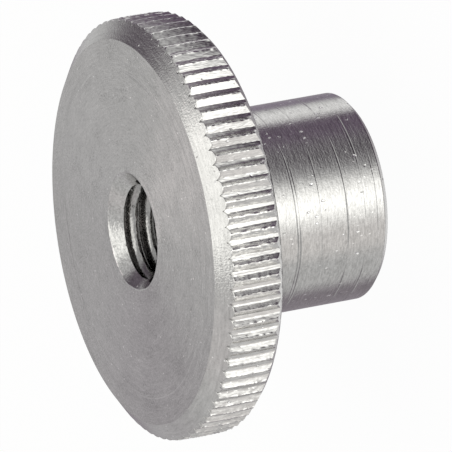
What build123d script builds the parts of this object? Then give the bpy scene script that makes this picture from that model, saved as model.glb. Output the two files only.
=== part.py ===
from build123d import *
import math
import os

# Knurled thumb nut, high form: a thin knurled disc head on a plain round hub,
# tapped right through on its axis. It is turned from one bar and is one solid.
# All lengths are in millimetres. The nut stands on the hub's bearing face at
# z = 0, with the thread's axis on Z and the head at the top.

# ---- sizes that can be set by themselves ----
thread_diameter = 6.0        # nominal size of the thread
thread_pitch = 1.0           # coarse pitch
countersink_diameter = 6.7   # mouth of the 90 degree countersink, at both ends
countersink_angle = 90.0

nut_height = 14.5            # bearing face to the head's flat face
hub_diameter = 11.8          # plain turned hub
hub_end_chamfer = 0.5        # broken edge round the bearing face
hub_fillet = 0.3             # tool radius where the hub meets the head

head_diameter = 24.0         # over the teeth, at the middle of the rim
head_thickness = 4.3
rim_crown = 0.04             # how far the rim stands out at its middle
face_chamfer_width = 1.0     # front bevel, measured along the flat face
face_chamfer_depth = 0.78    # front bevel, measured along the axis
back_chamfer = 0.5           # smaller 45 degree bevel behind the rim

knurl_teeth = 84             # straight knurl, teeth parallel to the axis
groove_depth = 0.2
groove_floor_width = 0.2     # flat left at the bottom of each groove
tooth_crest_width = 0.08     # flat left on top of each tooth

# ---- what follows from them ----
# minor radius of the thread, which is the plain wall that the solid keeps
bore_radius = (thread_diameter - 1.0825 * thread_pitch) / 2
countersink_radius = countersink_diameter / 2
countersink_depth = (countersink_radius - bore_radius) / math.tan(
    math.radians(countersink_angle / 2)
)
hub_radius = hub_diameter / 2
head_radius = head_diameter / 2
rim_edge_radius = head_radius - rim_crown
head_back = nut_height - head_thickness
face_radius = rim_edge_radius - face_chamfer_width
rim_front = nut_height - face_chamfer_depth
rim_back = head_back + back_chamfer
tooth_pitch = 2 * math.pi * head_radius / knurl_teeth
half_tooth_angle = 180 / knurl_teeth

# a groove's section, from its flat floor up to the tooth tips and then on by
# the same slope, so that the cutter always comes clear of the rim
floor_radius = head_radius - groove_depth
floor_half = groove_floor_width / 2
tip_half = (tooth_pitch - tooth_crest_width) / 2
cutter_radius = head_radius + groove_depth
cutter_half = tip_half + (tip_half - floor_half)

with BuildPart() as thumb_nut:
    # the turned blank, as one section carried round the axis
    with BuildSketch(Plane.XZ):
        with BuildLine():
            blank = Polyline(
                (rim_edge_radius, rim_front),
                (face_radius, nut_height),
                (0, nut_height),
                (0, 0),
                (hub_radius, 0),
                (hub_radius, head_back),
                (rim_edge_radius - back_chamfer, head_back),
                (rim_edge_radius, rim_back),
            )
            rim = ThreePointArc(
                blank @ 1,
                (head_radius, (rim_front + rim_back) / 2),
                blank @ 0,
            )
        make_face()
    revolve(axis=Axis.Z)

    # tool radius in the corner between hub and head
    corner = (
        thumb_nut.edges()
        .filter_by(GeomType.CIRCLE)
        .filter_by_position(Axis.Z, head_back - 0.001, head_back + 0.001)
        .sort_by(SortBy.RADIUS)[0]
    )
    fillet(corner, radius=hub_fillet)

    # broken edge round the bearing face
    chamfer(thumb_nut.edges().group_by(Axis.Z)[0], length=hub_end_chamfer)

    # straight knurl: one groove, repeated round the rim and cut right across it
    with BuildSketch(Plane.XY.offset(head_back)):
        with PolarLocations(0, knurl_teeth, start_angle=half_tooth_angle):
            Polygon(
                (floor_radius, -floor_half),
                (cutter_radius, -cutter_half),
                (cutter_radius, cutter_half),
                (floor_radius, floor_half),
                align=None,
            )
    extrude(amount=head_thickness, mode=Mode.SUBTRACT)

    # tapping hole, right through, countersunk from both ends
    with Locations((0, 0, nut_height)):
        CounterSinkHole(
            radius=bore_radius,
            counter_sink_radius=countersink_radius,
            depth=nut_height,
            counter_sink_angle=countersink_angle,
        )
    mouth = (
        thumb_nut.edges()
        .filter_by(GeomType.CIRCLE)
        .group_by(Axis.Z)[0]
        .sort_by(SortBy.RADIUS)[0]
    )
    chamfer(mouth, length=countersink_depth, length2=countersink_radius - bore_radius)

thumb_nut.part.label = "thumb_nut"

os.makedirs("parts", exist_ok=True)
export_step(thumb_nut.part, "parts/thumb_nut.step")
print("solids", len(thumb_nut.solids()), "volume mm3", round(thumb_nut.part.volume, 2))
print("plain bore", round(bore_radius, 4), "from", round(countersink_depth, 4))
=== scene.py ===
"""Looks for the knurled thumb nut: one turned, knurled and tapped piece of stainless steel.

Lengths are in metres, the thread's axis is Z, the bearing face is at z = 0 and the
head is at the top.
"""

import math

import bpy
import numpy as np
from bpy.props import FloatProperty, FloatVectorProperty, IntProperty, PointerProperty
from bpy.types import Operator, Panel, PropertyGroup
from mathutils import Matrix, Vector


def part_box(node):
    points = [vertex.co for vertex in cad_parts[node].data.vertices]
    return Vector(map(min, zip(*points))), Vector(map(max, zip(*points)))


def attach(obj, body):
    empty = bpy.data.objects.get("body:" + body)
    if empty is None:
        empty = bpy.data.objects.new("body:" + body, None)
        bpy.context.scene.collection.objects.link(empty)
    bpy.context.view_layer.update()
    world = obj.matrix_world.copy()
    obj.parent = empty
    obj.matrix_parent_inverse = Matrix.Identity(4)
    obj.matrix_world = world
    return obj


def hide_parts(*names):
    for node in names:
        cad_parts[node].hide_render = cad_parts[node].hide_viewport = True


bl_info = {
    "name": "Knurled Thumb Nut",
    "version": (1, 0, 0),
    "blender": (4, 5, 0),
    "location": "View3D > Sidebar > Thumb Nut",
    "description": "Turned, knurled and tapped thumb nut in stainless steel",
    "category": "Object",
}

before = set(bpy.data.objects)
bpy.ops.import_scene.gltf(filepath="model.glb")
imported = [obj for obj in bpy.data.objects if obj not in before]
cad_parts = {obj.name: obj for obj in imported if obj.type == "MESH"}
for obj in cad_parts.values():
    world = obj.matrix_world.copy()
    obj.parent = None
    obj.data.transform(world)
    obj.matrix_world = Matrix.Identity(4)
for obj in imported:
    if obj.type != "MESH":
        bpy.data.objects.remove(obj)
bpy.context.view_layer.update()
LOW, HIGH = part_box("thumb_nut")
MM = 0.001

# the thread, as shares of its pitch: how deep it is, half of its crest's width, and where
# its root starts, counted from the middle of the crest
THREAD_DEPTH = 0.45
CREST_HALF = 0.07
ROOT_START = 0.46
# how far ragged metal stands up, in mm: on the thread's crests, in the whole thread, and
# round the mouth of the hole
CREST_TEAR = 0.035
THREAD_CHIP = 0.006
MOUTH_LIP = 0.02

# rows of points along a tooth of the knurl
RIM_ROWS = 38
# wear of the knurl, in mm of height: streaks and pits on the torn flank, fine pits all
# over, and how much one tooth differs from the next
FLANK_STREAK, FLANK_PIT, SKIN_PIT, TOOTH_SPREAD = 0.011, 0.006, 0.0015, 0.003
# and in mm to the side: the crests' wander, and the torn flank's pits
CREST_WANDER, SIDE_PIT = 0.009, 0.006
# the lobes' depth as a share of the groove's: middle value, and change round the rim
LOBE_DEPTH, LOBE_CHANGE = 0.972, 0.378
# radii, in mm, at which the flat face and the head's back have a ring of points
FACE_RINGS = (9.9, 8.4, 7.0, 5.8, 4.9, 4.2)
BACK_RINGS = (7.2, 8.6, 10.0, 11.0)
# half the size of a softened edge
SOFT = 0.02 * MM
# corners sharper than this stay crisp
CRISP = math.radians(36)


# ---------------------------------------------------------------- settings


def linear(code):
    """Linear RGB of an sRGB hex colour such as "#C8C6C3"."""
    parts = [int(code[i : i + 2], 16) / 255 for i in (1, 3, 5)]
    return [c / 12.92 if c <= 0.04045 else ((c + 0.055) / 1.055) ** 2.4 for c in parts]


def length(name, description, mm):
    return FloatProperty(
        name=name, description=description, default=mm * MM, unit="LENGTH", precision=5
    )


def colour(name, description, code):
    return FloatVectorProperty(
        name=name,
        description=description,
        default=linear(code),
        subtype="COLOR",
        size=3,
        min=0,
        max=1,
    )


class NutSizes(PropertyGroup):
    """Sizes of the turned, knurled and tapped body."""

    thread_diameter: length("Thread", "Nominal diameter of the thread", 6.0)
    thread_pitch: length("Pitch", "Coarse pitch", 1.0)
    thread_start: length("Thread start", "Height of a thread crest on the X axis", 0.78)
    countersink: length("Countersink", "Mouth of the 90 degree countersink", 6.7)
    hub_diameter: length("Hub", "Diameter of the plain hub", 11.8)
    hub_end_chamfer: length("Hub chamfer", "Broken edge at the bearing face", 0.35)
    hub_fillet: length("Hub fillet", "Tool radius between hub and head", 0.3)
    head_thickness: length("Head thickness", "Flat face to the head's back", 4.3)
    rim_crown: length("Rim crown", "How far the rim stands out at its middle", 0.04)
    bevel_width: length("Front bevel width", "Measured along the face", 1.0)
    bevel_depth: length("Front bevel depth", "Measured along the axis", 0.78)
    back_chamfer: length("Back chamfer", "45 degree bevel behind the rim", 0.5)
    teeth: IntProperty(
        name="Teeth", description="Teeth of the straight knurl", default=84, min=12
    )
    groove_depth: length("Groove depth", "Depth of the knurl", 0.24)
    groove_floor: length("Groove floor", "Flat at the bottom of a groove", 0.17)
    tooth_crest: length("Tooth crest", "Flat on top of a tooth", 0.09)
    burr: length("Burr", "Height of the ragged lip that knurling raises", 0.022)
    runout: length("Run-out", "How far the hole lies off the centre", 0.165)
    runout_turn: FloatProperty(
        name="Run-out turn",
        description="Turn about the axis at which the hole lies off the centre",
        default=math.radians(-30),
        subtype="ANGLE",
    )


class NutColours(PropertyGroup):
    """Colours of the metal and of the studio."""

    steel: colour("Steel", "Clean turned stainless steel", "#CBCAC8")
    floor: colour("Floor", "Studio floor", "#F2F2F0")


# ---------------------------------------------------------------- mesh work


def ring_points(radius, height, angle):
    """Points at those radii and heights about Z, at those angles: (r cos a, r sin a, z)."""
    radius, height, angle = np.broadcast_arrays(radius, height, angle)
    return np.stack(
        [radius * np.cos(angle), radius * np.sin(angle), height], -1
    ).reshape(-1, 3)


def band(lower, upper):
    """Quads between two closed rings of vertex numbers of the same length."""
    nl, nu = np.roll(lower, -1, -1), np.roll(upper, -1, -1)
    return np.stack([lower, nl, nu, upper], -1).reshape(-1, 4)


def step_down(fine, coarse):
    """Triangles that join a ring to one with a whole number of times fewer vertices.

    Each coarse span gets a fan: the near half of its fine spans go to its first end,
    the far half to its second, and one triangle on the coarse side closes it.
    """
    ratio = len(fine) // len(coarse)
    part = fine.reshape(len(coarse), ratio)
    end = np.roll(part[:, 0], -1)[:, None]
    run = np.concatenate([part, end], 1)
    after = np.roll(coarse, -1)
    half = ratio // 2
    fans = [
        np.stack([run[:, k], run[:, k + 1], coarse if k < half else after], -1)
        for k in range(ratio)
    ]
    fans.append(np.stack([coarse, run[:, half], after], -1))
    return np.concatenate(fans)


def smooth_noise(rng, shape, passes):
    """Random numbers of about unit size, averaged with their neighbours some times."""
    n = rng.standard_normal(shape)
    for axis, count in enumerate(passes):
        for _ in range(count):
            n = (np.roll(n, 1, axis) + 2 * n + np.roll(n, -1, axis)) / 4
    return n / n.std()


def knurl_section(s):
    """One tooth's stations: distance from the crest's middle, and share of the groove depth.

    The share is 0 on the crest, rises in a straight line down each flank and is 1 on the
    groove's floor. Stations stand close together at the corners, so that these stay crisp.
    """
    pitch = 2 * math.pi * HIGH.x / s.teeth
    crest, floor = s.tooth_crest / 2, pitch / 2 - s.groove_floor / 2
    flank = floor - crest
    half = np.array([0.0, 0.8 * crest])
    half = np.append(half, crest + flank * np.array([0.07, 0.26, 0.48, 0.7, 0.92, 1.0]))
    half = np.append(half, floor + 0.03 * MM)
    walk = np.concatenate([half, [pitch / 2], pitch - half[:0:-1]])
    share = np.clip((np.minimum(walk, pitch - walk) - crest) / flank, 0, 1)
    return walk, share, pitch


def rim_grid(s, rows, rng):
    """The knurled rim with the ends of its bevels, as rows of rings from back to front.

    Radius = crowned rim - groove depth x share + burr on the crests + torn streaks on one
    flank. The rim's rows run between the two bevels' cones, which meet each station of the
    tooth where its radius says, so the bevels' edges are scalloped. At its front end each
    tooth is swelled to a round lobe: radius = rim - depth x (1 - (1 - 0.96 distance^2)^0.5),
    where depth = groove depth x (middle value - change x sin(angle)).
    """
    walk, share, pitch = knurl_section(s)
    per_tooth = len(walk)
    columns = s.teeth * per_tooth
    straight = (np.arange(s.teeth)[:, None] * pitch + walk).ravel() / HIGH.x
    apart = np.tile(np.minimum(walk, pitch - walk) / (pitch / 2), s.teeth)
    share = np.tile(share, s.teeth)
    leaving = np.tile(walk <= pitch / 2, s.teeth)
    tooth = (np.repeat(np.arange(s.teeth), per_tooth) + ~leaving) % s.teeth
    edge = HIGH.x - s.rim_crown
    back = HIGH.z - s.head_thickness
    along = np.concatenate([[0, 0.012], np.linspace(0.035, 0.962, rows - 4)])
    along = np.append(along, [0.976, 0.988, 1.0])[:, None]
    shape = (rows + 1, columns)

    # the rough flank is the steeper one, and gives way to the groove's floor toward the front
    torn = np.clip(share * (1 + leaving * (0.22 + 0.16 * along)), 0, 1)
    share = np.where(share > 0.05, torn, share)

    # ragged lip on each crest, and streaks where the metal tore on one flank; both are
    # stronger on one side of the rim: 0.6 - 0.4 sin(angle + 1.4)
    wear = 0.6 - 0.4 * np.sin(straight + 1.4)
    bead = smooth_noise(rng, (rows + 1, s.teeth), (0, 0))[:, tooth]
    drift = smooth_noise(rng, (rows + 1, s.teeth), (2, 0))[:, tooth]
    on_crest = np.clip(1 - share / 0.05, 0, 1)
    ragged = 1 + 0.8 * (1 - along) ** 6
    middle = np.sin(np.pi * np.clip(share * 0.94 + 0.03, 0, 1))
    rough = np.where(leaving & (share < 0.999) & (share > 0.02), middle, 0) * wear
    streaks = smooth_noise(rng, shape, (5, 0))
    pits = smooth_noise(rng, shape, (0, 0))
    tall = smooth_noise(rng, (1, s.teeth), (0, 0))[:, tooth]

    radius0 = -s.groove_depth * share * (1 + 0.03 * tall)
    lip = s.burr * (0.4 + 0.6 * wear) * on_crest * ragged
    radius0 = radius0 + lip * np.clip(0.7 + 0.5 * bead, 0, 1.8)
    radius0 = radius0 + rough * (FLANK_STREAK * streaks + FLANK_PIT * pits) * MM
    radius0 = radius0 + (SKIN_PIT * wear * pits + TOOTH_SPREAD * tall) * MM
    side = (CREST_WANDER * on_crest * drift + SIDE_PIT * rough * np.roll(pits, 3, 1)) * MM

    # round lobes at the front end, flatter on the side that the wheel left last
    deep = s.groove_depth * (LOBE_DEPTH - LOBE_CHANGE * np.sin(straight))
    lobe = -deep * (1 - np.sqrt(1 - 0.96 * apart**2)) + 0.4 * s.burr
    swell = np.clip((along - 0.976) / 0.012, 0, 1)
    radius0 = radius0 + (lobe - radius0) * swell

    # painted shade: the end of each groove is darkened in colour where the metal that each lobe
    # pushed up would shade it
    shade = np.clip(1 - np.abs(along - 0.968) / 0.028, 0, 1) * np.clip(1.4 * share, 0, 1)

    front_r = edge + radius0[-1]
    back_r = edge + radius0[0]
    front_z = HIGH.z - s.bevel_depth * (front_r - edge + s.bevel_width) / s.bevel_width
    back_z = back + back_r - (edge - s.back_chamfer)
    z = back_z + (front_z - back_z) * along
    crown = s.rim_crown * (1 - (2 * along - 1) ** 2)
    radius = edge + crown + radius0
    angle = straight + side / HIGH.x

    inner = edge - s.back_chamfer
    near = inner + 0.03 * MM
    behind = [(inner - 0.26 * MM, back, straight), (inner - 0.02 * MM, back, straight)]
    behind.append((near, back + 0.02 * MM, straight))
    behind.append(((inner + back_r) / 2, (back + back_z) / 2, (straight + angle[0]) / 2))
    start_r = edge - 0.45 * s.bevel_width
    start_z = HIGH.z - 0.55 * s.bevel_depth
    ahead = [((start_r + front_r) / 2, (start_z + front_z) / 2, (straight + angle[-1]) / 2)]
    ahead.append((start_r, start_z, straight))

    full = [np.broadcast_to(v, (columns,)) for row in behind for v in row]
    tail = [np.broadcast_to(v, (columns,)) for row in ahead for v in row]
    r = np.vstack([full[0::3], radius, tail[0::3]])
    h = np.vstack([full[1::3], z, tail[1::3]])
    a = np.vstack([full[2::3], angle, tail[2::3]])
    return r, h, a, rough, shade, len(behind)


def turned_profile(s):
    """The plain turned surfaces, as (radius, height, finish) rows.

    The first list runs from the front bevel in to the mouth of the hole, the second from
    the mouth at the bearing face out over the hub to the head's back. A softened edge is
    a short facet, with a row close on each side of it to keep the rest of the wall true.
    """
    edge = HIGH.x - s.rim_crown
    face = edge - s.bevel_width
    mouth = s.countersink / 2
    hub = s.hub_diameter / 2
    back = HIGH.z - s.head_thickness
    fall = s.bevel_depth / s.bevel_width
    front = [
        (edge - 0.6 * s.bevel_width, HIGH.z - 0.4 * s.bevel_depth, "bevel"),
        (face + 4 * SOFT, HIGH.z - 4 * SOFT * fall, "bevel"),
        (face, HIGH.z, "bevel"),
        (face - 3 * SOFT, HIGH.z, "face"),
    ]
    front += [(r * MM, HIGH.z, "face") for r in FACE_RINGS]
    front += [(mouth + 5 * SOFT, HIGH.z, "face"), (mouth + SOFT, HIGH.z, "face")]
    front.append((mouth, HIGH.z - 0.3 * SOFT, "bore"))

    cut = s.hub_end_chamfer
    end = hub - cut
    rear = [(mouth, 0.3 * SOFT, "end"), (mouth + SOFT, 0, "end")]
    rear += [(mouth + 5 * SOFT, 0, "end"), (mouth + 0.5 * (end - mouth), 0, "end")]
    rear += [(end - 5 * SOFT, 0, "end"), (end - 2 * SOFT, 0, "end")]
    rear += [(end + cut * k, cut * k, "end") for k in (0.06, 0.2, 0.85)]
    rear += [(hub - 0.7 * SOFT, cut - 0.7 * SOFT, "end"), (hub, cut + 0.7 * SOFT, "hub")]
    wall = back - s.hub_fillet
    rear += [
        (hub, cut + (wall - cut) * k, "hub") for k in (0.006, 0.2, 0.4, 0.6, 0.8, 0.98, 1)
    ]
    turn = np.linspace(0, math.pi / 2, 6)[1:]
    rear += [
        (
            hub + s.hub_fillet * (1 - math.cos(t)),
            wall + s.hub_fillet * math.sin(t),
            "back",
        )
        for t in turn
    ]
    rear += [(r * MM, back, "back") for r in BACK_RINGS]
    return front, rear


def tapped_wall(s, columns, mouth_top, mouth_bottom, rng):
    """The tapped wall: rows follow the helix, so its crests and roots stay crisp.

    Radius = the larger of the thread profile, which depends only on the row, and the
    countersink's cones, which depend only on height. The thread's flanks ease toward its
    crests: depth x share^1.35, and the crests are torn inward at random. Where profile
    and cone cross between rows, the nearer point moves onto the crossing.
    """
    pitch = s.thread_pitch
    depth = THREAD_DEPTH * pitch
    minor = s.thread_diameter / 2 - depth
    flank = (0.14, 0.20, 0.26, 0.34)
    phases = np.array(
        [-CREST_HALF, CREST_HALF, *flank, ROOT_START, 0.5, 1 - ROOT_START]
        + [1 - part for part in flank[::-1]]
    )
    per_turn = len(phases)
    turns = int(math.ceil(HIGH.z / pitch)) + 3
    crest0 = s.thread_start - pitch
    heights = np.sort((crest0 + pitch * (np.arange(turns)[:, None] + phases)).ravel())
    phase = np.abs((heights - s.thread_start) / pitch % 1)
    phase = np.minimum(phase, 1 - phase)
    share = np.clip((phase - CREST_HALF) / (ROOT_START - CREST_HALF), 0, 1)
    thread = minor + depth * share**1.35

    angle = np.arange(columns) * (2 * math.pi / columns)
    z = heights[::-1, None] + pitch * angle / (2 * math.pi) - pitch
    on_crest = (phase <= CREST_HALF * 1.001)[::-1, None]
    torn = CREST_TEAR * MM * np.clip(rng.standard_normal(z.shape), 0, 2) * on_crest
    r_thread = thread[::-1, None] - torn

    def cone(z):
        return s.countersink / 2 - np.minimum(z, HIGH.z - z)

    gap = cone(z) - r_thread
    cross = gap[:-1] * gap[1:] < 0
    way = gap[:-1] / np.where(cross, gap[:-1] - gap[1:], 1)
    spot = z[:-1] + way * (z[1:] - z[:-1])
    first = cross & (way < 0.5)
    second = cross & ~first
    z[:-1][first] = spot[first]
    z[1:][second] = spot[second]
    moved = np.zeros(z.shape, bool)
    moved[:-1] |= first
    moved[1:] |= second
    radius = np.where(moved, cone(z), np.maximum(r_thread, cone(z)))

    rows = len(heights)
    above, below = z >= HIGH.z - 1e-6, z <= 1e-6
    inside = ~(above | below)
    number = np.where(above, mouth_top, mouth_bottom)
    return angle, z, radius, inside, number, per_turn, rows


def nut_mesh(s):
    """The whole nut as one closed surface: rows of rings round the axis, joined in a loop.

    The hole lies off the centre by the run-out, and the flat faces round it take that up
    toward their middle: shift = run-out x share, which falls from 1 at the mouth to 0.
    """
    rng = np.random.default_rng(84)
    r, h, a, rough, shade, n_back = rim_grid(s, RIM_ROWS, rng)
    columns = 2 * s.teeth
    angle = np.arange(columns) * (2 * math.pi / columns)
    few = angle[::2]
    front, rear = turned_profile(s)
    mouth = s.countersink / 2
    off = s.runout * np.array([math.cos(s.runout_turn), math.sin(s.runout_turn), 0])

    points, faces, finish, count = [], [], [], 0

    def add(p):
        nonlocal count
        points.append(p)
        count += len(p)
        return np.arange(count - len(p), count)

    def join(f, name):
        faces.append(f)
        finish.append(np.full(len(f), FINISHES.index(name)))

    def turned(row, angle):
        share = np.clip(1 - (row[0] - mouth) / (2 * MM), 0, 1)
        ring = ring_points(row[0], row[1], angle) + share * off
        if row[2] == "face" and row[0] < mouth + 0.03 * MM:
            # the tap left a ragged lip round the mouth
            ring[:, 2] += MOUTH_LIP * MM * np.clip(rng.standard_normal(len(ring)), 0, 1.5)
        return add(ring)

    # knurled rim and the outer part of both bevels
    rings = add(ring_points(r, h, a)).reshape(r.shape)
    for i in range(len(r) - 1):
        if i < 1:
            name = "back"
        elif i < n_back:
            name = "bevel"
        elif i < n_back + RIM_ROWS:
            name = "knurl"
        else:
            name = "bevel"
        join(band(rings[i], rings[i + 1]), name)
    marks = {"tool_marks": rough, "painted_groove_shade": shade}
    for key, value in marks.items():
        whole = np.zeros(r.shape)
        whole[n_back : n_back + RIM_ROWS + 1] = value
        marks[key] = whole.ravel()

    # bevel and face: the flat of the face needs half as many columns
    flat = [row[2] for row in front].index("face") + 1
    rows = [turned(row, angle) for row in front[: flat + 1]]
    join(step_down(rings[-1], rows[0]), "bevel")
    for i in range(flat):
        join(band(rows[i], rows[i + 1]), front[i + 1][2])
    rows = [rows[-1]] + [turned(row, few) for row in front[flat + 1 :]]
    join(step_down(rows[0], rows[1]), "face")
    for i in range(1, len(rows) - 1):
        join(band(rows[i], rows[i + 1]), front[flat + i + 1][2])
    top = rows[-1]

    # bearing face, hub and the head's back
    flat = 4
    rows = [turned(row, few) for row in rear[:flat]]
    rows += [turned(row, angle) for row in rear[flat:]]
    for i in range(len(rows) - 1):
        if i == flat - 1:
            join(step_down(rows[i + 1], rows[i])[:, ::-1], rear[i + 1][2])
        else:
            join(band(rows[i], rows[i + 1]), rear[i + 1][2])
    join(step_down(rings[0], rows[-1])[:, ::-1], "back")
    bottom = rows[0]

    # tapped wall
    angle, z, radius, inside, number, per_turn, n = tapped_wall(s, len(few), top, bottom, rng)
    chip = smooth_noise(rng, z.shape, (0, 0)) * THREAD_CHIP * MM
    on_crest = radius < s.thread_diameter / 2 - 0.5 * MM
    radius = radius + np.where(on_crest, chip, 0.15 * chip)
    wall = ring_points(radius, z, np.broadcast_to(angle, z.shape)) + off
    new = add(wall[inside.ravel()])
    number[inside] = new
    after = np.roll(number, -1, 1)
    after[:, -1] = np.concatenate([np.repeat(top[0], per_turn), number[:-per_turn, 0]])
    quads = np.stack([number[:-1], after[:-1], after[1:], number[1:]], -1).reshape(-1, 4)
    left, right = quads[:, 0] == quads[:, 3], quads[:, 1] == quads[:, 2]
    # the countersink ends where its cone has come in to the thread's crests
    tall = z[:-1].ravel()
    cut = mouth - s.thread_diameter / 2 + THREAD_DEPTH * s.thread_pitch
    deep = (tall > cut) & (tall < HIGH.z - cut)
    join(quads[~left & ~right & ~deep], "bore")
    join(quads[~left & ~right & deep], "thread")
    join(quads[left & ~right][:, :3], "bore")
    join(quads[~left & right][:, [0, 1, 3]], "bore")

    marks = {key: np.append(v, np.zeros(count - v.size)) for key, v in marks.items()}
    return np.concatenate(points), faces, np.concatenate(finish), marks


def signed_volume(points, faces):
    """Six times the volume that the faces enclose; it is positive if they face outwards."""
    total = 0
    for f in faces:
        for k in range(1, f.shape[1] - 1):
            a, b, c = points[f[:, 0]], points[f[:, k]], points[f[:, k + 1]]
            total += np.einsum("ij,ij->", a, np.cross(b, c))
    return total


def mesh_object(name, points, faces, slots, materials, marks):
    """One mesh object in the scene, smooth but for its real corners."""
    if signed_volume(points, faces) < 0:
        faces = [f[:, ::-1] for f in faces]
    mesh = bpy.data.meshes.new(name)
    mesh.from_pydata(points.tolist(), [], [q for f in faces for q in f.tolist()])
    for material in materials:
        mesh.materials.append(material)
    mesh.polygons.foreach_set("material_index", slots.astype(np.int32))
    for key, value in marks.items():
        mesh.attributes.new(key, "FLOAT", "POINT").data.foreach_set("value", value)
    mesh.shade_smooth()
    mesh.set_sharp_from_angle(angle=CRISP)
    mesh.update()
    piece = bpy.data.objects.new(name, mesh)
    bpy.context.scene.collection.objects.link(piece)
    return piece


# ---------------------------------------------------------------- materials


def node(tree, kind, settings=None, **inputs):
    """Adds a node; settings are its own fields, inputs are values or sockets to link."""
    made = tree.nodes.new(kind)
    for key, value in (settings or {}).items():
        setattr(made, key, value)
    for key, value in inputs.items():
        socket = made.inputs[int(key[1:]) if key[1:].isdigit() else key.replace("_", " ")]
        if isinstance(value, bpy.types.NodeSocket):
            tree.links.new(value, socket)
        else:
            socket.default_value = value
    return made


def new_material(name):
    material = bpy.data.materials.new(name)
    material.use_nodes = True
    material.node_tree.nodes.clear()
    return material, material.node_tree


def weighed(tree, start, *parts):
    """start + the sum of weight x (value - 0.5), over (value, weight) parts."""
    total = start
    for value, weight in parts:
        total = node(
            tree, "ShaderNodeMath", {"operation": "MULTIPLY_ADD"}, _0=value, _1=weight, _2=total
        ).outputs[0]
        total = node(
            tree, "ShaderNodeMath", {"operation": "SUBTRACT"}, _0=total, _1=weight / 2
        ).outputs[0]
    return total


# What each turned, knurled or tapped surface gives the eye. Spacings are in mm. "across"
# is the direction over which the tool's lines follow each other: out along a flat face,
# up along a wall. Real feed marks are 0.05 to 0.1 mm apart and would blur to nothing at
# this size, so the finest lines are drawn at 0.12 to 0.16 mm.
FINISH = {
    # faced with a light feed: soft satin rings, dull patches, few specks
    "face": dict(
        made="faced",
        across="radius", bright=1.0, rough=0.36, aniso=0.6, lines=0.14, line_tone=0.12,
        streak_tone=0.21, band=0.9, band_tone=0.04, patch_tone=0.22, grain_tone=0.25,
        line_height=5, grain_height=8, specks=0.8, speck_height=36, lean=0.15,
        marks=(
            (3.9, 0.25, -0.08), (9.18, 0.06, -0.16), (9.42, 0.05, 0.16), (9.85, 0.36, -0.05),
        ),
        stain=0.26,
    ),
    # form turned, then nicked by the knurling wheel: brighter and more speckled
    "bevel": dict(
        made="form_turned",
        across="radius", bright=1.0, rough=0.28, aniso=0.35, lines=0.16, line_tone=0.16,
        streak_tone=0.26, band=0.4, band_tone=0.08, patch_tone=0.20, grain_tone=0.16,
        line_height=8, grain_height=14, specks=0.7, speck_height=70, lean=0, marks=(),
    ),
    # rolled by the knurling wheel: burnished flanks with fine pits, torn on one side; its
    # colour is raised to 1.18, painted light for what its teeth catch
    "knurl": dict(
        made="knurled",
        across="height", bright=1.18, rough=0.22, aniso=0.0, lines=0.7, line_tone=0.02,
        streak_tone=0, band=1.5, band_tone=0.04, patch_tone=0.24, grain_tone=0.30,
        line_height=0, grain_height=13, specks=1.0, speck_height=60, lean=0, marks=(),
        grain_squash=0.25,
    ),
    # turned at speed: bright, with crisp lines, deeper grooves drawn with painted shade, and
    # handling specks with painted glints
    "hub": dict(
        made="turned",
        across="height", bright=1.0, rough=0.25, aniso=0.6, lines=0.12, line_tone=0.14,
        streak_tone=0.44, band=0.5, band_tone=0.04, patch_tone=0.16, grain_tone=0.16,
        line_height=5, grain_height=5, specks=1.8, speck_height=24, lean=0,
        marks=(
            (0.84, 0.04, -0.25), (1.65, 0.05, -0.30), (1.79, 0.03, -0.25), (2.86, 0.05, -0.36),
            (3.25, 0.03, -0.20), (4.62, 0.03, -0.16), (6.1, 0.05, -0.36), (6.27, 0.04, -0.25),
        ),
    ),
    # parted off and broken by a chamfer tool: rings a little coarser than the face's
    "end": dict(
        made="parted_off",
        across="radius", bright=1.0, rough=0.32, aniso=0.5, lines=0.18, line_tone=0.10,
        streak_tone=0.16, band=0.7, band_tone=0.05, patch_tone=0.10, grain_tone=0.16,
        line_height=6, grain_height=8, specks=0.3, speck_height=40, lean=0, marks=(),
    ),
    # turned behind the head with a round-nosed tool
    "back": dict(
        made="turned_behind_the_head",
        across="radius", bright=1.0, rough=0.30, aniso=0.5, lines=0.16, line_tone=0.10,
        streak_tone=0.16, band=0.6, band_tone=0.05, patch_tone=0.10, grain_tone=0.14,
        line_height=5, grain_height=8, specks=0.3, speck_height=40, lean=0, marks=(),
    ),
    # countersunk: bright, with chatter and torn specks
    "bore": dict(
        made="countersunk",
        across="height", bright=1.0, rough=0.26, aniso=0.2, lines=0.12, line_tone=0.16,
        streak_tone=0.34, band=0.4, band_tone=0.10, patch_tone=0.34, grain_tone=0.30,
        line_height=8, grain_height=8, specks=1.4, speck_height=60, lean=0, marks=(),
    ),
    # tapped: shiny flanks, whose colour is darkened to 0.70 as painted shade inside the hole
    "thread": dict(
        made="tapped",
        across="height", bright=0.70, rough=0.22, aniso=0.2, lines=0.12, line_tone=0.16,
        streak_tone=0.24, band=0.4, band_tone=0.10, patch_tone=0.24, grain_tone=0.24,
        line_height=6, grain_height=8, specks=0.6, speck_height=60, lean=0, marks=(),
    ),
}
FINISHES = list(FINISH)
REACH = 15.0  # mm that a ramp of marks covers
# sizes in mm of the patterns that every finish has: short streaks round the axis, grain,
# dull patches, the wander of the single marks, cells that may hold a speck, stained areas
# and their pits; real grain is under 0.02 mm and is drawn coarser so that it shows
STREAK, GRAIN, PATCH, WANDER, CELL, STAIN, PIT = 0.1, 0.11, 1.6, 2.5, 0.30, 2.4, 0.10
FEED = 0.12  # mm between the facing tool's marks
MARK_DEPTH = 0.06  # height of a single mark, as a share of its tone


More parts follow.
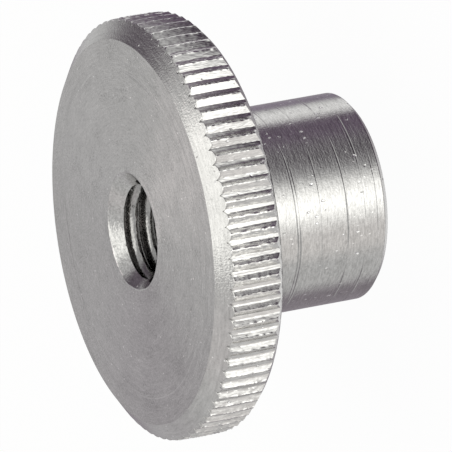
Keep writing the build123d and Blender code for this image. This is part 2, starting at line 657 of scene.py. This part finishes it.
def steel(name, colours):
    """One finish of stainless steel (X5CrNi18-10), as FINISH says.

    Brightness = 1 + the sum of tone x (pattern - 0.5) over lines, bands, patches and grain,
    + the marks' ramp, which is painted shade in grooves and painted highlight on lips, +
      painted glints and shade on the specks, - painted shade at the ends of the knurl's
      grooves, and roughness follows the same patterns. Height, in mm, carries the
    lines, the grain, the marks and the specks.
    """
    f = FINISH[name]
    material, tree = new_material("stainless_steel_" + f["made"])
    place = node(
        tree, "ShaderNodeVectorMath", {"operation": "SCALE"},
        _0=node(tree, "ShaderNodeTexCoord").outputs["Object"], Scale=1 / MM,
    ).outputs[0]
    flat = node(
        tree, "ShaderNodeVectorMath", {"operation": "MULTIPLY"}, _0=place, _1=(1, 1, 0)
    ).outputs[0]
    outward = node(tree, "ShaderNodeVectorMath", {"operation": "NORMALIZE"}, _0=flat).outputs[0]
    if f["across"] == "radius":
        across = node(
            tree, "ShaderNodeVectorMath", {"operation": "LENGTH"}, _0=flat
        ).outputs["Value"]
    else:
        across = node(tree, "ShaderNodeSeparateXYZ", _0=place).outputs["Z"]

    def lines(spacing, turns, detail):
        # noise that is drawn out round the axis, so it makes lines across it
        step = node(
            tree, "ShaderNodeMath", {"operation": "DIVIDE"}, _0=across, _1=spacing
        ).outputs[0]
        spot = node(
            tree, "ShaderNodeVectorMath", {"operation": "MULTIPLY_ADD"}, _0=outward,
            _1=(turns, turns, 0), _2=node(tree, "ShaderNodeCombineXYZ", Z=step).outputs[0],
        ).outputs[0]
        return node(
            tree, "ShaderNodeTexNoise", Vector=spot, Scale=1.0, Detail=detail, Roughness=0.6
        ).outputs[0]

    def cloud(size, detail, stretch=(1, 1, 1)):
        spot = node(
            tree, "ShaderNodeVectorMath", {"operation": "MULTIPLY"}, _0=place, _1=stretch
        ).outputs[0]
        return node(
            tree, "ShaderNodeTexNoise",
            Vector=spot, Scale=1 / size, Detail=detail, Roughness=0.6,
        ).outputs[0]

    fine, broad = lines(f["lines"], 4.0, 2.0), lines(f["band"], 2.5, 1.0)
    short = lines(STREAK, 16.0, 2.0)
    patch, grain = cloud(PATCH, 3.0), cloud(GRAIN, 1.0, (1, 1, f.get("grain_squash", 1)))
    # single marks: each ring is darkened in colour, painted shade in a groove, or lightened, a
    # painted highlight on a lip, with a small real bump from MARK_DEPTH
    marks = [(0.0, 0.5), (1.0, 0.5)]
    for where, half, depth in f["marks"]:
        marks += [((where - half) / REACH, 0.5), (where / REACH, 0.5 + depth)]
        marks.append(((where + half) / REACH, 0.5))
    wander = weighed(tree, across, (cloud(WANDER, 1.0), 0.12))
    reach = node(
        tree, "ShaderNodeMath", {"operation": "DIVIDE"}, _0=wander, _1=REACH
    ).outputs[0]
    groove = node(tree, "ShaderNodeValToRGB", _0=reach)
    points = groove.color_ramp.elements
    while len(points) < len(marks):
        points.new(0.5)
    for point, (where, grey) in zip(points, sorted(marks)):
        point.position = where
        point.color = (grey, grey, grey, 1)
    # the tool cut deeper on some stretches, so marks fade in and out round the piece
    stretch = node(
        tree, "ShaderNodeMapRange", Value=lines(0.45, 1.6, 0.0), From_Min=0.40, From_Max=0.58,
    ).outputs[0]
    marks = node(
        tree, "ShaderNodeMath", {"operation": "MULTIPLY_ADD"},
        _0=weighed(tree, 0.0, (groove.outputs["Color"], 1.0)), _1=stretch, _2=0.5,
    ).outputs[0]

    # specks: a small dent or raised nick in some of the cells, drawn out along the axis
    nick = node(
        tree, "ShaderNodeTexVoronoi", Scale=1 / CELL,
        Vector=node(
            tree, "ShaderNodeVectorMath", {"operation": "MULTIPLY"}, _0=place, _1=(1, 1, 0.55)
        ).outputs[0],
    )
    draw = node(tree, "ShaderNodeSeparateColor", _0=nick.outputs["Color"])
    ragged = weighed(
        tree, nick.outputs["Distance"], (cloud(0.09, 1.0, (1, 1, 0.6)), 0.30),
        (draw.outputs[2], 0.14),
    )
    inside = node(
        tree, "ShaderNodeMapRange", {"interpolation_type": "SMOOTHSTEP"},
        Value=ragged, From_Min=0.22, From_Max=0.06,
    ).outputs[0]
    chosen = node(
        tree, "ShaderNodeMath", {"operation": "LESS_THAN"}, _0=draw.outputs[0],
        _1=f["specks"] * 0.2,
    ).outputs[0]
    speck = node(
        tree, "ShaderNodeMath", {"operation": "MULTIPLY"}, _0=inside, _1=chosen
    ).outputs[0]

    # stains: patches where the surface is finely pitted
    stained = node(
        tree, "ShaderNodeMapRange", {"interpolation_type": "SMOOTHSTEP"},
        Value=cloud(STAIN, 2.0, (1.3, 1, 1)), From_Min=0.52, From_Max=0.66,
    ).outputs[0]
    pits = node(
        tree, "ShaderNodeMapRange", Value=cloud(PIT, 0.0), From_Min=0.5, From_Max=0.3,
    ).outputs[0]
    stain = node(
        tree, "ShaderNodeMath", {"operation": "MULTIPLY"}, _0=stained, _1=pits
    ).outputs[0]

    # torn metal: the knurl's rough flank is streaked along the tooth and dull
    torn = node(tree, "ShaderNodeAttribute", {"attribute_name": "tool_marks"}).outputs["Fac"]
    tear = cloud(GRAIN, 2.0, (1, 1, 0.35))
    torn_tone = node(
        tree, "ShaderNodeMath", {"operation": "MULTIPLY_ADD"}, _0=torn,
        _1=weighed(tree, -0.02, (tear, 0.7)), _2=f["bright"],
    ).outputs[0]

    tone = weighed(
        tree, torn_tone, (fine, f["line_tone"] * 2), (broad, f["band_tone"] * 2),
        (short, f["streak_tone"] * 2), (patch, f["patch_tone"]), (grain, f["grain_tone"] * 2),
        (marks, 1.0),
    )
    # painted light on the specks: their colour goes from 0.25 darker, painted shade in a dent,
    # to 0.8 brighter, a painted glint on a nick
    speck_painted_light = node(
        tree, "ShaderNodeMapRange", Value=draw.outputs[1], From_Min=0.15, From_Max=0.5,
        To_Min=-0.25, To_Max=0.8,
    ).outputs[0]
    tone = node(
        tree, "ShaderNodeMath", {"operation": "MULTIPLY_ADD"}, _0=speck, _1=speck_painted_light, _2=tone
    ).outputs[0]
    tone = node(
        tree, "ShaderNodeMath", {"operation": "MULTIPLY_ADD"}, _0=stain,
        _1=-f.get("stain", 0.12), _2=tone,
    ).outputs[0]
    # painted shade: the front ends of the knurl's grooves are darkened in colour where raised
    # metal would keep light from them
    shade = node(tree, "ShaderNodeAttribute", {"attribute_name": "painted_groove_shade"}).outputs["Fac"]
    tone = node(
        tree, "ShaderNodeMath", {"operation": "MULTIPLY_ADD"}, _0=shade, _1=-0.55, _2=tone
    ).outputs[0]
    metal = node(
        tree, "ShaderNodeVectorMath", {"operation": "SCALE"},
        _0=tuple(colours.steel), Scale=tone,
    ).outputs[0]
    rough = weighed(
        tree, f["rough"], (fine, 0.10), (broad, 0.06), (patch, 0.10), (torn, 0.30)
    )
    height = weighed(
        tree, 0.0, (fine, f["line_height"] * MM), (grain, f["grain_height"] * MM),
        (marks, MARK_DEPTH),
    )
    height = node(
        tree, "ShaderNodeMath", {"operation": "MULTIPLY_ADD"}, _0=speck,
        _1=weighed(tree, 0.0, (draw.outputs[2], 2 * f["speck_height"] * MM)), _2=height,
    ).outputs[0]
    if f["lean"]:
        # the facing tool's marks all lean outward: saw teeth that fall away from the centre
        saw = node(
            tree, "ShaderNodeMath", {"operation": "FRACT"},
            _0=node(
                tree, "ShaderNodeMath", {"operation": "DIVIDE"}, _0=across, _1=FEED
            ).outputs[0],
        ).outputs[0]
        height = weighed(tree, height, (saw, -f["lean"] * FEED))
    bump = node(tree, "ShaderNodeBump", Strength=1.0, Distance=MM, Height=height)
    tangent = node(tree, "ShaderNodeTangent", {"direction_type": "RADIAL", "axis": "Z"})
    surface = node(
        tree,
        "ShaderNodeBsdfPrincipled",
        Base_Color=metal,
        Metallic=1.0,
        Roughness=rough,
        Anisotropic=f["aniso"],
        Anisotropic_Rotation=0.25,
        Tangent=tangent.outputs[0],
        Normal=bump.outputs[0],
    )
    node(tree, "ShaderNodeOutputMaterial", Surface=surface.outputs[0])
    return material


# ---------------------------------------------------------------- stage


# the camera: turn, rise and roll in degrees, distance and aim in metres, lens in mm; it
# narrows the view to the squeeze, by shearing it to the side that lean says
CAM = dict(
    turn=0.6393, rise=25.4276, roll=9.5564, distance=0.5390884, across=5.6528e-3,
    along=0.4463e-3, lens=711.818331, squeeze=0.9299, lean=-1,
)
SENSOR = 36  # mm
FLOOR_HALF = 3.0  # half the floor's side, in metres
FLOOR_GAP = 0.02 * MM  # keeps the bearing face clear of the floor
FLOOR_GLOW = 0.96  # the rest of what the eye sees of the floor is paper, with its shadow
ROOM = 0.63  # brightness of the pale walls that the metal mirrors
# soft panels and flags: turn from +Y toward +X, rise, inner and outer half width, all in
# degrees, brightness and tint; later ones lie over earlier ones
PANELS = [
    ("overhead softbox", 123, 80, 18, 31, 1.46, "#FFFFFC"),
    ("high softbox", 30, 62, 5, 24, 1.9, "#FFF4F4"),
    ("side wall", 284, 52, 6, 28, 0.72, "#FFFCFC"),
    ("front wall", 224, -25, 6, 30, 0.88, "#FFFCFA"),
    ("front softbox", 184, -16, 0, 36, 2.15, "#FFFFFC"),
    ("low flag", 93, -48, 20, 39, 0.16, "#F8DAFF"),
    ("low flag", 129, -48, 16, 32, 0.07, "#F8DAFF"),
    ("tall flag", 58, 12, 16, 40, 0.15, "#FDECFF"),
    ("far wall", 335, -45, 31, 49, 0.3, "#FFF4FF"),
    ("near flag", 28, -26, 5, 20, 0.32, "#F8EAFF"),
    ("ceiling edge", 342, 21, 8, 30, 0.46, "#FFFAFF"),
    ("floor glow", 343, -60, 8, 26, 0.95, "#FFFFFF"),
    ("rim light", 61, -22, 4, 20, 1.0, "#FFFFFF"),
]


def direction(turn, rise):
    """Unit vector at that turn from +Y toward +X and that rise above the floor."""
    turn, rise = math.radians(turn), math.radians(rise)
    flat = math.cos(rise)
    return Vector((math.sin(turn) * flat, math.cos(turn) * flat, math.sin(rise)))


def camera_frame(turn, rise, roll):
    """Right, up and back of a camera that looks at the axis from that turn and rise."""
    turn, rise, roll = map(math.radians, (turn, rise, roll))
    level = Vector((math.sin(turn), -math.cos(turn), 0))
    back = math.cos(rise) * level + math.sin(rise) * Vector((0, 0, 1))
    up = Vector((math.cos(turn), math.sin(turn), 0))
    right = up.cross(back)
    return (
        math.cos(roll) * right - math.sin(roll) * up,
        math.cos(roll) * up + math.sin(roll) * right,
        back,
    )


# ---------------------------------------------------------------- operators


class MakeNut(Operator):
    """Make the nut's surface and its steel"""

    bl_idname = "thumb_nut.make_nut"
    bl_label = "Make Nut"

    def execute(self, context):
        scene = context.scene
        points, faces, slots, marks = nut_mesh(scene.nut_sizes)
        materials = [steel(name, scene.nut_colours) for name in FINISHES]
        nut = mesh_object("nut", points, faces, slots, materials, marks)
        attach(nut, "root")
        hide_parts("thumb_nut")
        return {"FINISHED"}


class MakeStage(Operator):
    """Make the floor, the light and the camera"""

    bl_idname = "thumb_nut.make_stage"
    bl_label = "Make Stage"

    def execute(self, context):
        scene = context.scene
        scene.view_settings.view_transform = "Standard"
        colours = scene.nut_colours

        # floor
        mesh = bpy.data.meshes.new("floor")
        corners = ((-1, -1), (1, -1), (1, 1), (-1, 1))
        height = LOW.z - FLOOR_GAP
        mesh.from_pydata(
            [(x * FLOOR_HALF, y * FLOOR_HALF, height) for x, y in corners], [], [(0, 1, 2, 3)]
        )
        material, tree = new_material("studio_paper")
        path = node(tree, "ShaderNodeLightPath")
        direct = node(
            tree, "ShaderNodeMath", {"operation": "MAXIMUM"},
            _0=path.outputs["Is Camera Ray"], _1=path.outputs["Is Transmission Ray"],
        ).outputs[0]
        share = node(
            tree, "ShaderNodeMath", {"operation": "MULTIPLY"}, _0=direct, _1=FLOOR_GLOW
        ).outputs[0]
        paper = node(tree, "ShaderNodeBsdfDiffuse", Color=(*colours.floor, 1))
        glow = node(tree, "ShaderNodeEmission", Color=(1, 1, 1, 1), Strength=1.0)
        mixed = node(
            tree, "ShaderNodeMixShader", _0=share, _1=paper.outputs[0], _2=glow.outputs[0]
        )
        # seen from below it is clear, so that the bearing face and hub can be looked at
        below = node(tree, "ShaderNodeNewGeometry").outputs["Backfacing"]
        clear = node(tree, "ShaderNodeBsdfTransparent")
        mixed = node(
            tree, "ShaderNodeMixShader", _0=below, _1=mixed.outputs[0], _2=clear.outputs[0]
        )
        node(tree, "ShaderNodeOutputMaterial", Surface=mixed.outputs[0])
        mesh.materials.append(material)
        floor = bpy.data.objects.new("floor", mesh)
        scene.collection.objects.link(floor)
        floor.visible_glossy = False

        # world
        world = bpy.data.worlds.new("studio")
        world.use_nodes = True
        tree = world.node_tree
        tree.nodes.clear()
        path = node(tree, "ShaderNodeLightPath")
        toward = node(tree, "ShaderNodeTexCoord").outputs["Generated"]
        room = None
        for _, turn, rise, inner, outer, strength, tint in PANELS:
            centre = direction(turn, rise)
            value = [c * strength for c in linear(tint)]
            facing = node(
                tree, "ShaderNodeVectorMath", {"operation": "DOT_PRODUCT"}, _0=toward, _1=centre
            )
            away = node(
                tree, "ShaderNodeMath", {"operation": "ARCCOSINE"}, _0=facing.outputs["Value"]
            )
            cover = node(
                tree, "ShaderNodeMapRange", {"interpolation_type": "SMOOTHSTEP"},
                Value=away.outputs[0],
                From_Min=math.radians(outer), From_Max=math.radians(inner),
            )
            layer = node(
                tree, "ShaderNodeMix", {"data_type": "RGBA"},
                _0=cover.outputs[0], _6=room or (ROOM, ROOM, ROOM, 1), _7=(*value, 1),
            )
            room = layer.outputs[2]
        # straight views show a white room; metal mirrors its pale walls, softboxes and flags
        direct = node(
            tree, "ShaderNodeMath", {"operation": "MAXIMUM"},
            _0=path.outputs["Is Camera Ray"], _1=path.outputs["Is Transmission Ray"],
        ).outputs[0]
        seen = node(
            tree, "ShaderNodeMix", {"data_type": "RGBA"}, _0=direct, _6=room, _7=(1, 1, 1, 1)
        )
        back = node(tree, "ShaderNodeBackground", Color=seen.outputs[2], Strength=1)
        node(tree, "ShaderNodeOutputWorld", Surface=back.outputs[0])
        scene.world = world

        # camera
        data = bpy.data.cameras.new("camera")
        camera = bpy.data.objects.new("camera", data)
        stand = bpy.data.objects.new("camera_stand", None)
        scene.collection.objects.link(camera)
        scene.collection.objects.link(stand)
        right, up, back = camera_frame(CAM["turn"], CAM["rise"], CAM["roll"])
        aim = Vector((0, 0, HIGH.z)) + CAM["across"] * right + CAM["along"] * up
        place = aim + CAM["distance"] * back
        squeeze = CAM["squeeze"]
        lean = CAM["lean"] * math.sqrt(1 - squeeze**2)
        tall = squeeze * up + lean * back
        camera.parent = stand
        camera.matrix_parent_inverse = Matrix(
            [(right[i], tall[i], back[i], place[i]) for i in range(3)] + [(0, 0, 0, 1)]
        )
        data.sensor_width = SENSOR
        data.lens = CAM["lens"]
        data.clip_start, data.clip_end = 0.01, 10
        scene.camera = camera
        return {"FINISHED"}


class NutPanel(Panel):
    """Sizes, colours and operators of the thumb nut"""

    bl_idname = "VIEW3D_PT_thumb_nut"
    bl_label = "Thumb Nut"
    bl_space_type = "VIEW_3D"
    bl_region_type = "UI"
    bl_category = "Thumb Nut"

    def draw(self, context):
        layout = self.layout
        for group in (context.scene.nut_sizes, context.scene.nut_colours):
            box = layout.box()
            for name in group.__annotations__:
                box.prop(group, name)
        for operator in (MakeNut, MakeStage):
            layout.operator(operator.bl_idname)


CLASSES = (NutSizes, NutColours, MakeNut, MakeStage, NutPanel)


def register():
    for cls in CLASSES:
        bpy.utils.register_class(cls)
    bpy.types.Scene.nut_sizes = PointerProperty(type=NutSizes)
    bpy.types.Scene.nut_colours = PointerProperty(type=NutColours)


def unregister():
    del bpy.types.Scene.nut_colours
    del bpy.types.Scene.nut_sizes
    for cls in reversed(CLASSES):
        bpy.utils.unregister_class(cls)


def main():
    register()
    bpy.ops.thumb_nut.make_nut()
    bpy.ops.thumb_nut.make_stage()


if __name__ == "__main__":
    main()
